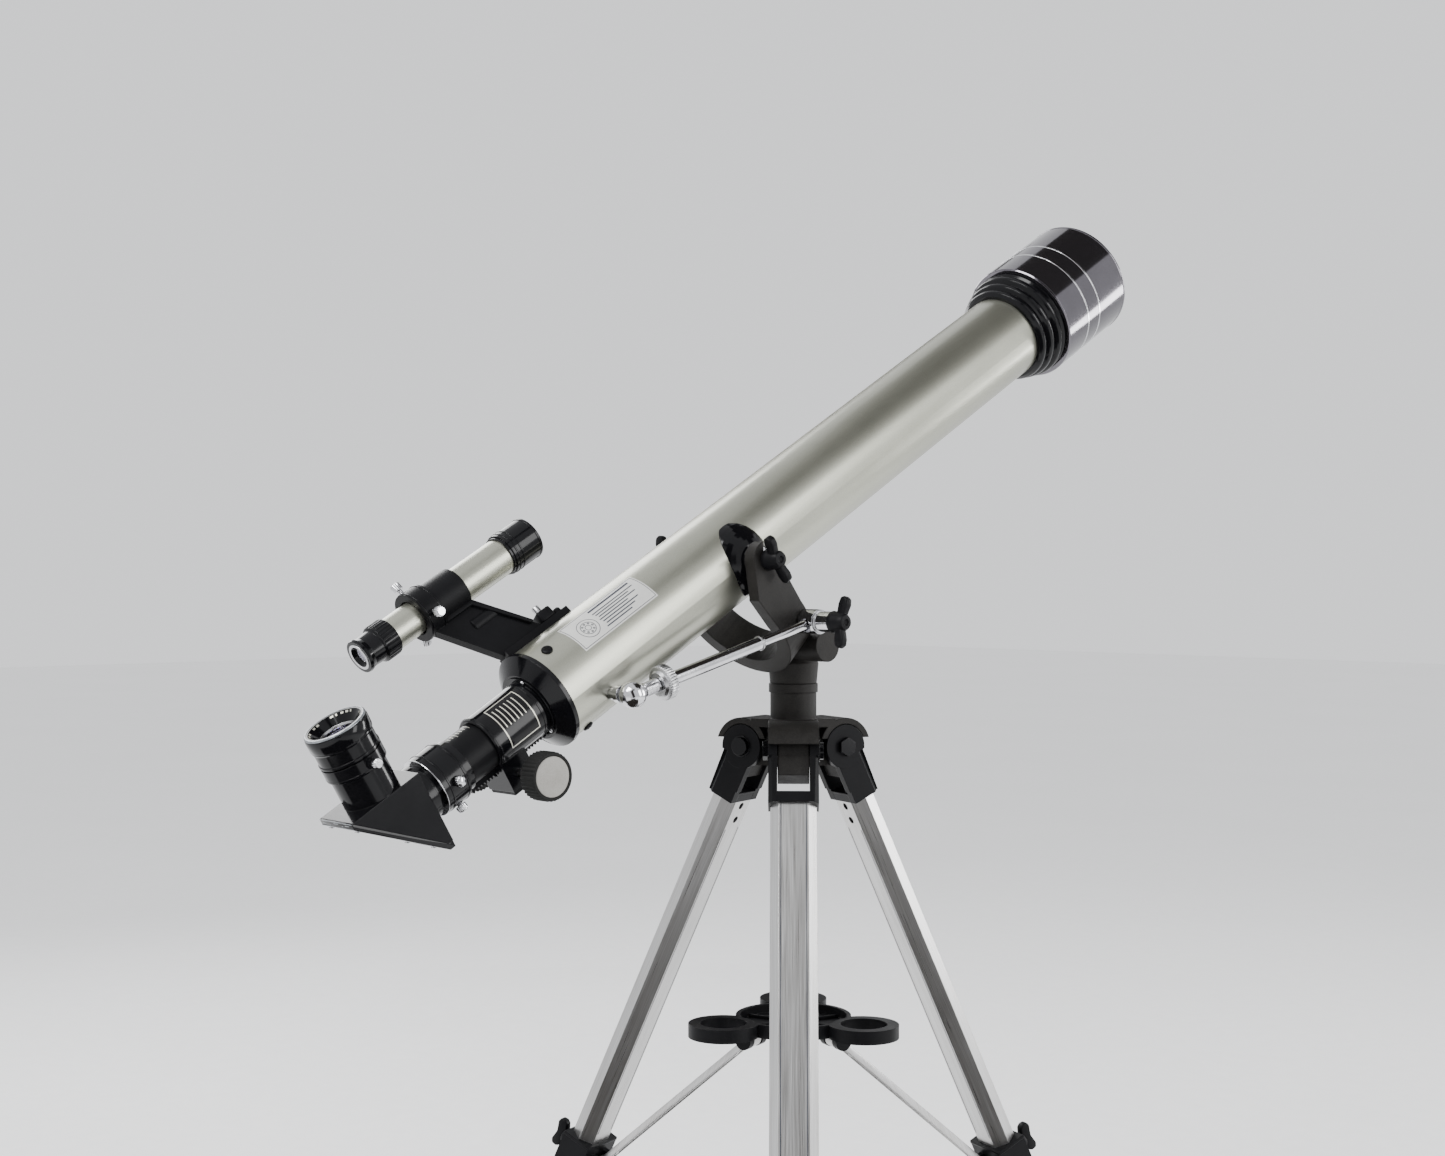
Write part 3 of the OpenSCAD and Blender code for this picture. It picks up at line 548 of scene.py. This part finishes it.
aim = []
for roll in (-90, 30, 150):
    seat = turn_y(roll) @ shift(0, -191, 0) @ SIDEWAYS
    aim.append(moved(thread(10.9, 20.2, 1.75, 0.8, 0.25, 20), seat))
    aim.append(moved(lathe([(0, 20), (3.2, 20), (3.3, 20.5, 0.35), (3.3, 24.2, 0.35), (2.6, 25),
                            (0, 25)], teeth=18, closed=False), seat))
piece("finder_aim_screws", joined(aim), FINDER, "tube", "chrome")
for name, y0, y1 in (("rear", -196.2, -194.9), ("front", -186.4, -185.1)):
    rim = soft_ring(16.4, 16.95, y0, y1, 0.4, 80)
    piece(f"finder_flange_rim_{name}", rim, FINDER, "tube", "gloss")
for k, y in enumerate((-117.2, -113.6, -98.4)):
    rim = soft_ring(13.8, 14.35, y, y + 1.8, 0.5, 80)
    piece(f"finder_cell_ring_{k}", rim, FINDER, "tube", "gloss")
rim = lathe([(12.0, -104.2), (12.0, -102.6), (11.2, -102.2), (10.8, -104.0)], 64)
piece("finder_lens_ring", rim, FINDER, "tube", "flat")

grip = lathe([(12.0, -227.9), (12.35, -227.4, 0.5), (12.35, -218.2, 0.5), (12.0, -217.6),
              (11.4, -217.6), (11.4, -227.9)], teeth=30)
piece("finder_ocular_grip", grip, FINDER, "finder_ocular", "black")
rim = lathe([(6.9, -242.2), (8.6, -242.3), (8.7, -241.9), (7.0, -241.4)], 64)
piece("finder_ocular_ring", rim, FINDER, "finder_ocular", "turned")
eye = lathe([(0, -240.6), (3.2, -240.4), (6.6, -239.6), (6.6, -238.4), (0, -238.4)], 48, closed=False)
piece("finder_ocular_glass", eye, FINDER, "finder_ocular", "coated")

# ---------------------------------------------------------------- focuser

FOCUSER_R = 18.4
RACK_GAP = 4.2             # half of the opening that the rack passes
INK = 0.08                 # height of the print above the focuser
a0, a1 = (math.radians(a) * FOCUSER_R for a in (14, 112))
ink = frame_boxes(a0, a1, -214, -190, 0.75, INK)
for k in range(6):
    ink.append((a0 + 4, a0 + 18, -211 + k * 3.2, -210.3 + k * 3.2, INK))
piece("focuser_label", on_cylinder(FOCUSER_R, ink), TUBE, "tube", "silver_ink")
for k, y in enumerate((-222.6, -186.4)):
    rim = soft_ring(18.2, 18.75, y, y + 1.8, 0.4, 90)
    piece(f"focuser_rim_{k}", open_below(rim, RACK_GAP), TUBE, "tube", "gloss")

for side, half_turn in (("right", 0), ("left", 180)):
    knob = lathe([(3.1, 27), (7, 27), (7.6, 30.2), (13.4, 31), (15, 32.2, 0.7), (15, 43.4, 0.7),
                  (14.2, 44.9), (12.6, 45), (12.3, 44.3), (3.1, 44.3)], teeth=36)
    disc = lathe([(0, 44.1), (12.25, 44.1), (12.25, 44.6), (11.7, 44.85), (0, 44.85)], 80,
                 closed=False)
    seat = PINION @ turn_y(half_turn) @ SIDEWAYS
    piece(f"focus_knob_{side}", knob, seat, "focus_drive", "rubber", "focus_knobs")
    piece(f"focus_knob_disc_{side}", disc, seat, "focus_drive", "knob_grey")
screws = [moved(cross_head(1.45, 1.0), shift(x, -214, -35.0) @ turn_x(-90)) for x in (-9, 9)]
piece("cover_screws", joined(screws), TUBE, "tube", "chrome")

# ---------------------------------------------------------------- draw tube and eyepiece holder

rim = lathe([(16.0, -268.6), (19.45, -268.6), (19.6, -268.2), (19.45, -267.8), (16.0, -267.8)], 90)
piece("holder_end_ring", rim, TUBE, "draw", "chrome")
for k, y in enumerate((-252.4, -264.6)):
    rim = soft_ring(19.3, 19.8, y, y + 2.0, 0.5, 90)
    piece(f"holder_rim_{k}", rim, TUBE, "draw", "gloss")
screws = []
for roll in (0, 65):
    seat = turn_y(roll) @ shift(0, -258, 0) @ SIDEWAYS
    screws.append(moved(thread(16.4, 21, 1.9, 0.8, 0.25, 20), seat))
    screws.append(moved(lathe([(0, 20.2), (3.3, 20.2), (3.45, 20.7, 0.3), (3.45, 23.4, 0.3), (2.9, 24.3),
                               (1.6, 24.9), (0, 25.0)], teeth=18, closed=False), seat))
piece("holder_thumb_screws", joined(screws), TUBE, "draw", "chrome", "holder_screws")
DRAW_R = 15.9
marks = []
for k in range(9):
    half = 2.2 if k % 4 else 4.0
    marks.append((-half, half, -246 + k * 2.4, -245.7 + k * 2.4, 0.03))
piece("draw_tube_scale", on_cylinder(DRAW_R, marks), TUBE, "draw", "silver_ink")

# ---------------------------------------------------------------- diagonal

EYE_Y = -301               # where the eyepiece's axis meets the tube's
EYE = TUBE @ shift(0, EYE_Y, 0) @ UPWARDS
slope = TUBE @ shift(0, -309.5, 0) @ turn_x(-45)
outline = [(-328.7, 18.5), (-328.7, 14.4), (-281.2, -33.1), (-277.2, -33.1), (-277.2, -29.05),
           (-280.45, -29.05), (-328.05, 18.5)]
piece("diagonal_cover", prism(outline, -17.5, 17.5, 0.3, 2), TUBE @ ACROSS, "diagonal", "gloss")
# The two long pale strips along the top and bottom edges of the cover's end are painted edge highlights;
# the short flecks between them are wear.
wear_and_sheen = [slab((-17.3, 17.3), (-328.85, -328.6), (18.0, 18.42), 0.1)]
wear_and_sheen += [slab((-17.3, 17.3), (-328.85, -328.6), (14.5, 14.8), 0.1)]
wear_and_sheen += [slab((x0, x1), (-328.8, -328.6), (z0, z0 + 0.5), 0.1)
         for x0, x1, z0 in ((-15, -11.5, 16.2), (-8.2, -6.6, 15.3), (-3.0, 1.8, 16.8), (5.2, 6.6, 15.6),
                            (9.0, 13.4, 16.4))]
piece("diagonal_edge_wear_and_highlight", joined(wear_and_sheen), TUBE, "diagonal", "wear_and_sheen")
screws, recess_shades = [], []
for x in (-14, 14):
    for y in (-33, 20):
        seat = shift(x, y, -3.1) @ turn_x(-90)
        screws.append(moved(cross_head(2.3, 1.1), seat))
        # Dark crosses on the chrome cover screws: painted shade in place of their recesses.
        recess_shades.append(moved(cross_recess_shade(2.2, 1.05), seat))
piece("diagonal_cover_screws", joined(screws), slope @ turn_z(180), "diagonal", "chrome")
piece("diagonal_cover_recess_shade", joined(recess_shades), slope @ turn_z(180), "diagonal", "flat")
rim = lathe([(17.0, 36.6), (17.6, 37.2), (18.8, 38.0), (18.9, 39.2), (18.4, 39.6), (17.0, 39.6)], 90)
piece("socket_rim", rim, EYE, "diagonal", "gloss")
bolt = joined([lathe([(0, 21.9), (2.0, 21.9), (2.0, 23.6), (0, 23.6)], 32, closed=False),
               lathe([(0, 23.2), (3.0, 23.2), (3.2, 23.7, 0.3), (3.2, 26.6, 0.3), (2.4, 27.4),
                      (0, 27.4)], teeth=16, closed=False)])
piece("socket_screw", bolt, TUBE @ shift(0, EYE_Y, 42) @ SIDEWAYS, "diagonal", "chrome")

# ---------------------------------------------------------------- eyepiece

band = lathe([(18.9, 57.6), (19.3, 58.2), (19.4, 64.4), (19.1, 65.6), (18.2, 65.6), (18.2, 57.6)], 110)
piece("eyepiece_collar", band, EYE, "eyepiece", "gloss")
# Pale metal ring on the eyepiece's top rim: a painted highlight that stands in for the glints on the
# dark rim.
rim = lathe([(17.7, 66.9), (18.2, 66.9), (18.75, 66.4), (18.85, 66.1), (19.05, 66.2), (18.9, 66.75),
             (18.3, 67.25), (17.7, 67.2)], 110)
piece("eyepiece_rim_painted_highlight", rim, EYE, "eyepiece", "wear_and_sheen")
rim = soft_ring(18.3, 18.9, 46.6, 48.8, 0.4, 90)
piece("eyepiece_step", rim, EYE, "eyepiece", "gloss")
dashes = bmesh.new()
for k in range(30):
    if k % 15 in (0, 1, 7, 8, 12):
        continue
    a = math.radians(k * 12)
    b = a + math.radians(7 if k % 3 else 4)
    quad = ((15.3, 65.5, a), (16.1, 66.4, a), (16.1, 66.4, b), (15.3, 65.5, b))
    dashes.faces.new([dashes.verts.new((r * math.cos(t), h + 0.12, r * math.sin(t)))
                      for r, h, t in quad])
piece("eyepiece_ring_marks", dashes, EYE, "eyepiece", "silver_ink")
rim = lathe([(11.6, 59.2), (12.4, 60.6), (11.6, 61.6), (11.0, 60.4)], 72)
piece("eyepiece_lens_ring", rim, EYE, "eyepiece", "turned")

# ---------------------------------------------------------------- mount

WING_REACH = 49.4          # from the middle plane to the hub of an altitude wing
wing("right_wing", "right_wing_knob", ALTITUDE @ shift(WING_REACH, 0, 0), 122, "altitude_wing_right")
wing("left_wing", "left_wing_knob", ALTITUDE @ turn_z(180) @ shift(WING_REACH, 0, 0), 90,
     "altitude_wing_left")
wing("clamp_knob", "clamp_wing_knob", CLAMP @ shift(69, 0, 0), 65, "clamp_wing")

wheel = lathe([(3.26, 20.5), (7.6, 20.5), (8.6, 22.3), (10.6, 23.0), (11.2, 23.6, 0.6),
               (11.2, 28.4, 0.6), (10.6, 29.0), (6.2, 29.4), (3.26, 29.5)], teeth=40)
piece("fine_adjust_grip", wheel, ROD, "wheel", "turned", "fine_adjust_wheel")
piece("rod_thread", thread(9.6, 19.8, 4.62, 1.25, 0.4), ROD, "rod", "chrome")
for k, y in enumerate((31.0, 110.0)):
    collar = soft_ring(4.2, 4.95, y - 0.9, y + 0.9, 0.4, 48)
    piece(f"rod_collar_{k}", collar, ROD, "rod", "turned")
washer = lathe([(4.3, 57.2), (7.6, 57.2), (7.6, 58.1), (7.2, 58.4), (4.3, 58.4)], 48)
piece("clamp_washer", washer, CLAMP @ SIDEWAYS, "clamp_knob", "turned")

radial = axis("azimuth_lock_turn")
LOCK = placed(Vector((PLAN.x, PLAN.y, point("azimuth_lock_turn").z)), radial, UP)
knob = joined([
    lathe([(0, 8.5), (2.9, 8.5), (2.9, 18.6), (0, 18.6)], 32, closed=False),
    lathe([(0, 18.2), (4.8, 18.2), (5.2, 20.5), (5.6, 22.0), (8.2, 22.4), (9.0, 23.4, 0.8),
           (9.0, 30.4, 0.8), (8.2, 31.6), (6.4, 31.9), (5.8, 31.2), (0, 31.2)], teeth=20,
          closed=False)])
piece("azimuth_lock_knob", knob, LOCK @ SIDEWAYS, "azimuth_knob", "black",
      "azimuth_lock")

# ---------------------------------------------------------------- legs and brace arms

COLLAR_Z = -340            # down the leg
FOOT_TOP = -600
FOOT_R = 17                # at its top
FOOT_TAPER = 13            # mm down for each mm that the radius loses
TRAY_EAR = 0.034           # from the tray's axis to the pins of its ears, in metres
TRAY_PIN = 0.006           # from the tray's underside up to those pins, in metres
tray_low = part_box("accessory_tray")[0].z
tray_pivot = tray_low + TRAY_PIN
for n in LEGS:
    leg = leg_frame(n)
    out = axis(f"brace_{n}_swing").cross(UP)
    # Thin dark strips along the leg's faces: painted shade of the grooves in the extrusion.
    strips = [slab(x, (y - 0.28, y + 0.28), z, 0.05)
              for x, z in (((9.35, 9.62), (-326, -41)), ((-9.62, -9.35), (-318, -62)))
              for y in (-8.4, 8.4)]
    piece(f"leg_groove_painted_shade_{n}", joined(strips), leg, f"leg_{n}", "print_and_groove_shade")

    knob = joined([
        moved(thread(7.6, 16.8, 2.95, 1.0, 0.3, 24), SIDEWAYS),
        moved(lathe([(0, 16.4), (6.0, 16.4), (6.2, 17.2), (5.6, 19.2), (4.4, 20.4), (0, 20.4)], 48,
                    closed=False), SIDEWAYS),
        moved(prism([(18.8, -5.0), (20.4, -9.4), (23.0, -11.0), (26.6, -10.6), (28.0, -7.6),
                     (27.0, -3.4), (26.2, 0.0), (27.0, 3.4), (28.0, 7.6), (26.6, 10.6),
                     (23.0, 11.0), (20.4, 9.4), (18.8, 5.0)], -2.9, 2.9, 1.0), turn_x(90))])
    piece(f"leg_lock_knob_{n}", knob, leg @ shift(0, 0, COLLAR_Z), f"lock_{n}", "black",
          f"leg_lock_{n}")
    heads = [moved(cross_head(2.2, 1.2), shift(11.9, y, z) @ SIDEWAYS)
             for y in (-13.5, 13.5) for z in (COLLAR_Z - 10, COLLAR_Z + 10)]
    piece(f"collar_screws_{n}", joined(heads), leg, f"leg_{n}", "chrome")
    bands = [slab((-12.3, 12.3), (-18.3, 18.3), (z - 0.8, z + 0.8), 0.3)
             for z in (COLLAR_Z + 12.4, COLLAR_Z - 12.4)]
    piece(f"collar_bands_{n}", joined(bands), leg, f"leg_{n}", "black")
    rings = []
    for k in range(4):
        z = FOOT_TOP - 3 - k * 5.5
        r = FOOT_R - (FOOT_TOP - z) / FOOT_TAPER + 0.1
        rings.append(moved(soft_ring(r - 0.6, r + 0.6, z - 1.4, z + 1.4, 0.7, 64), UPWARDS))
    piece(f"foot_ribs_{n}", joined(rings), leg, f"lower_{n}", "rubber")
    ring = lathe([(6.4, -0.6), (7.4, -0.6), (7.6, 0), (7.4, 0.6), (6.4, 0.6)], 48)
    piece(f"fitting_eye_{n}", ring, leg @ shift(0, 17.25, 0), f"leg_{n}", "gloss")

    pivot = point(f"brace_{n}_swing")
    reach = out * (TRAY_EAR - (Vector((pivot.x, pivot.y, 0)) - PLAN).dot(out))
    arm = placed(pivot, reach + UP * (tray_pivot - pivot.z), axis(f"brace_{n}_swing"))
    lips = [slab((7, 160), (y - 0.35, y + 0.35), (-2.3, 2.3), 0.2) for y in (-4.5, 4.5)]
    lips += [moved(lathe([(0, -0.2), (2.2, -0.2), (2.0, 0.6), (0, 1.0)], 32, closed=False),
                   shift(x, 0, 1.4) @ UPWARDS) for x in (16, 150)]
    piece(f"brace_arm_lips_{n}", joined(lips), arm, f"brace_{n}", f"alloy_{n}")

# ---------------------------------------------------------------- tray

TRAY = Matrix.Translation(Vector((PLAN.x, PLAN.y, tray_pivot))) @ Matrix.Scale(MM, 4)
rims = []
for n in LEGS:
    way = axis(f"leg_{n}_extend")
    lobe = math.degrees(math.atan2(way.y, way.x)) + 60
    rims.append(moved(lathe([(15.95, 14.8), (17.9, 14.8), (17.9, 16.6), (17.5, 17.0), (16.4, 17.0),
                             (15.95, 16.6)], 72), turn_z(lobe) @ shift(55, 0, 0) @ UPWARDS))
    rims.append(moved(slab((8, 36), (-0.8, 0.8), (14.9, 17.4), 0.3), turn_z(lobe - 60)))
    rims.append(moved(slab((8, 31), (-0.8, 0.8), (14.9, 17.4), 0.3), turn_z(lobe)))
rims.append(moved(lathe([(0, 14.8), (8, 14.8), (8, 18.4), (7.4, 19), (0, 19)], 48, closed=False),
                  UPWARDS))
piece("tray_ribs", joined(rims), TRAY, "tray", "black")
screw = moved(cross_head(4.2, 2.0), shift(0, 0, 18.9) @ UPWARDS)
piece("tray_screw", screw, TRAY, "tray", "chrome")

# ---------------------------------------------------------------- floor, light and camera

FLOOR_HALF = 14            # metres
FLOOR_Z = -0.0005


def aimed(obj, where, line):
    """Put at a point, its -Z along the line."""
    obj.location = where
    obj.rotation_mode = "QUATERNION"
    obj.rotation_quaternion = line.to_track_quat("-Z", "Y")


def backdrop():
    bm = bmesh.new()
    bmesh.ops.create_grid(bm, x_segments=1, y_segments=1, size=FLOOR_HALF)
    floor = linked("floor", mesh_from("floor", bm))
    floor.location.z = FLOOR_Z
    floor.data.materials.append(LOOKS["floor"])


def card(name, where, width, height, target):
    """Dark screen that only reflections see, so that bright metal has something to mirror."""
    bm = bmesh.new()
    corners = [(-width / 2, -height / 2), (width / 2, -height / 2), (width / 2, height / 2),
               (-width / 2, height / 2)]
    bm.faces.new([bm.verts.new((x, y, 0)) for x, y in corners])
    screen = linked(name, mesh_from(name, bm))
    aimed(screen, Vector(where), target - Vector(where))
    for kind in ("camera", "diffuse", "shadow", "transmission"):
        setattr(screen, f"visible_{kind}", False)
    screen.data.materials.append(LOOKS["screen"])


def lamp(name, where, size, power):
    """Soft lamp that points at the mount."""
    data = bpy.data.lights.new(name, "AREA")
    data.shape = "RECTANGLE"
    data.size, data.size_y = size
    data.energy = power
    aimed(linked(name, data), Vector(where), PIVOT - Vector(where))


LOOKS["floor"] = look("floor", (0.90, 0.90, 0.90), (0.94, 0.94, 0.94), (0.6, 0.75), patch=1.5,
                      fine=40, bump=0.02, depth=0.2, edge=0, specular=0.2)
LOOKS["screen"] = look("screen", (0.016, 0.014, 0.012), (0.024, 0.021, 0.019), (0.9, 1.0), patch=1,
                       fine=10, bump=0.0, edge=0, specular=0.0)
backdrop()
level = Vector((PIVOT.x, PIVOT.y, 0.75))
card("screen_near", (1.75, -1.45, 0.75), 0.9, 2.6, level)
card("screen_behind", (-1.7, 1.3, 0.75), 0.8, 2.6, level)
card("screen_above", (0.35, 0.85, 2.4), 2.0, 1.5, PIVOT)
card("screen_high", (1.10, -1.06, 1.5), 0.6, 1.0, Vector((PIVOT.x, PIVOT.y, 0.5)))
card("screen_low", (0.42, -0.34, 0.01), 1.3, 1.0, Vector((0.42, -0.34, 1)))
lamp("key", (0.15, -1.85, 2.35), (1.3, 1.0), 62)
lamp("side", (2.3, 0.9, 1.3), (0.7, 1.8), 32)
lamp("front", (0.95, 2.6, 1.1), (0.45, 1.2), 28)
lamp("far", (-1.9, 0.4, 1.8), (0.9, 1.6), 26)

world = bpy.data.worlds.new("studio")
bpy.context.scene.world = world
world.use_nodes = True
sky = world.node_tree.nodes["Background"]
sky.inputs["Color"].default_value = (0.93, 0.94, 0.96, 1)
sky.inputs["Strength"].default_value = 1.2

CAMERA_OFFSET = Vector((0.9736, -0.8748, -0.0121))    # from the altitude axis, in metres
CAMERA_LINE = Vector((-0.742, 0.670, 0))
camera = bpy.data.cameras.new("camera")
camera.sensor_fit = "HORIZONTAL"
camera.sensor_width = 36.0
camera.lens = 48.73
camera.clip_start = 0.02
camera.clip_end = 60
camera_obj = linked("camera", camera)
aimed(camera_obj, PIVOT + CAMERA_OFFSET, CAMERA_LINE)
bpy.context.scene.camera = camera_obj
